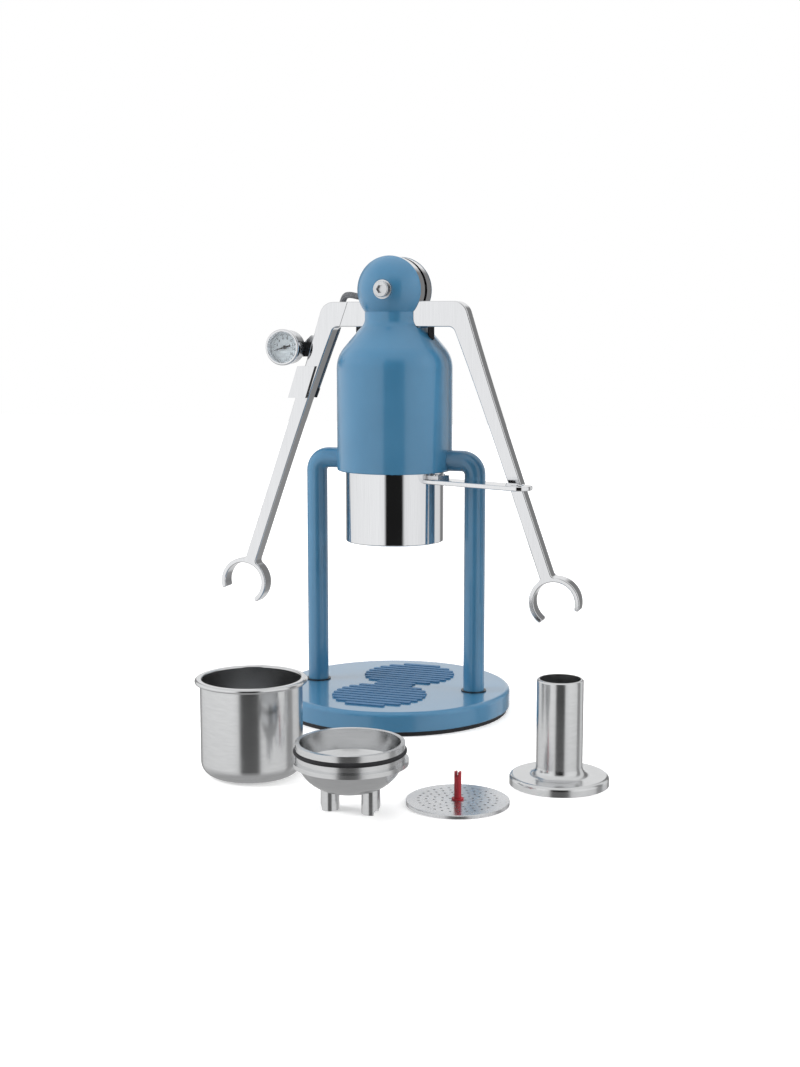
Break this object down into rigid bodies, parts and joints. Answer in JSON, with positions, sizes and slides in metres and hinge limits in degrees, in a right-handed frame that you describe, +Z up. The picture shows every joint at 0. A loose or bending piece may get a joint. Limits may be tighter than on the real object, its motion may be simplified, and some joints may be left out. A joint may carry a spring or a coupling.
{
  "type": "manual lever espresso press",
  "caption": "Free-standing manual lever espresso press: round base with bent tube legs, domed body, swinging claw-ended arms, gauge, hose, open portafilter and loose accessories.",
  "frame": {"origin": "centre of the base's underside", "axes": "+Z up, +X to the machine's right seen from the front, -Y towards the user"},
  "size_m": [0.3106, 0.3381, 0.3105],
  "materials": {
    "body_paint": "gloss",
    "polished_steel": "mirror",
    "satin_steel": "satin",
    "dark_steel": "satin",
    "black_rubber": "matte",
    "bronze": "satin",
    "red_silicone": "satin",
    "dial_white": "matte",
    "lens_glass": "clear",
    "black_plastic": "matte",
    "steel_braid": "braided",
    "needle_black": "matte"
  },
  "bodies": {
    "frame": {"base_plate": "body_paint", "base_pad": "black_rubber", "front_cup_ribs": "body_paint", "rear_cup_ribs": "body_paint", "left_leg": "body_paint", "right_leg": "body_paint", "leg_screws": "dark_steel", "foot_rings": "dark_steel", "body_shell": "body_paint", "arm_stops": "black_rubber", "pivot_bolt": "satin_steel", "pivot_nut": "satin_steel", "pivot_washers": "satin_steel", "hub_spacer": "dark_steel", "guide_plate": "satin_steel", "guide_bush": "bronze", "group_ring": "satin_steel", "group_seal": "black_rubber", "group_bolts": "dark_steel", "bayonet_ring": "satin_steel"},
    "left_lever": {"left_arm": "polished_steel", "left_hub_bush": "bronze", "gauge_case": "satin_steel", "gauge_bezel": "polished_steel", "gauge_lens": "lens_glass", "gauge_dial": "dial_white", "gauge_movement": "bronze", "gauge_connector": "black_plastic", "gauge_tab": "satin_steel", "arm_clamp": "polished_steel", "clamp_screws": "dark_steel", "pressure_hose": "steel_braid", "hose_fitting": "satin_steel", "hose_ferrule": "black_plastic"},
    "right_lever": {"right_arm": "polished_steel", "right_hub_bush": "bronze"},
    "plunger": {"crosshead": "satin_steel", "crosshead_block": "satin_steel", "crosshead_pins": "satin_steel", "piston_rod": "satin_steel", "piston": "satin_steel", "piston_seal": "black_rubber", "piston_screw": "dark_steel"},
    "portafilter": {"portafilter_collar": "polished_steel", "portafilter_handle": "polished_steel", "handle_bracket": "satin_steel", "bracket_rivets": "satin_steel"},
    "needle": {"gauge_needle": "needle_black"},
    "basket": {"filter_basket": "polished_steel"},
    "spout": {"spout_bowl": "polished_steel", "bowl_seal": "black_rubber"},
    "screen": {"dispersion_screen": "satin_steel", "screen_stem": "red_silicone"},
    "tamping_tool": {"tamper": "polished_steel"}
  },
  "joints": [
    {"name": "left_arm_swing", "type": "hinge", "parent": "frame", "child": "left_lever", "pos_m": [0, 0, 0.288], "axis": [0, 1, 0], "range_deg": [0, 115]},
    {"name": "right_arm_swing", "type": "hinge", "parent": "frame", "child": "right_lever", "pos_m": [0, 0, 0.288], "axis": [0, -1, 0], "range_deg": [0, 115]},
    {"name": "piston_travel", "type": "slide", "parent": "frame", "child": "plunger", "axis": [0, 0, 1], "range_m": [0, 0.0282]},
    {"name": "portafilter_twist", "type": "hinge", "parent": "frame", "child": "portafilter", "pos_m": [0, 0, 0.1475], "axis": [0, 0, 1], "range_deg": [-60, 0]},
    {"name": "needle_turn", "type": "hinge", "parent": "left_lever", "child": "needle", "pos_m": [-0.0775, -0.008, 0.2495], "axis": [0, 1, 0], "range_deg": [0, 240], "stiffness_Nm_per_rad": 0.0005},
    {"name": "basket_lift", "type": "slide", "parent": "frame", "child": "basket", "axis": [0, 0, 1], "range_m": [0, 0.1]},
    {"name": "spout_lift", "type": "slide", "parent": "frame", "child": "spout", "axis": [0, 0, 1], "range_m": [0, 0.1]},
    {"name": "screen_lift", "type": "slide", "parent": "frame", "child": "screen", "axis": [0, 0, 1], "range_m": [0, 0.1]},
    {"name": "tamper_lift", "type": "slide", "parent": "frame", "child": "tamping_tool", "axis": [0, 0, 1], "range_m": [0, 0.1]}
  ],
  "couplings": [
    {"joint": "right_arm_swing", "follows": "left_arm_swing", "ratio": 1},
    {"joint": "piston_travel", "follows": "left_arm_swing", "m_per_rad": 0.014}
  ]
}
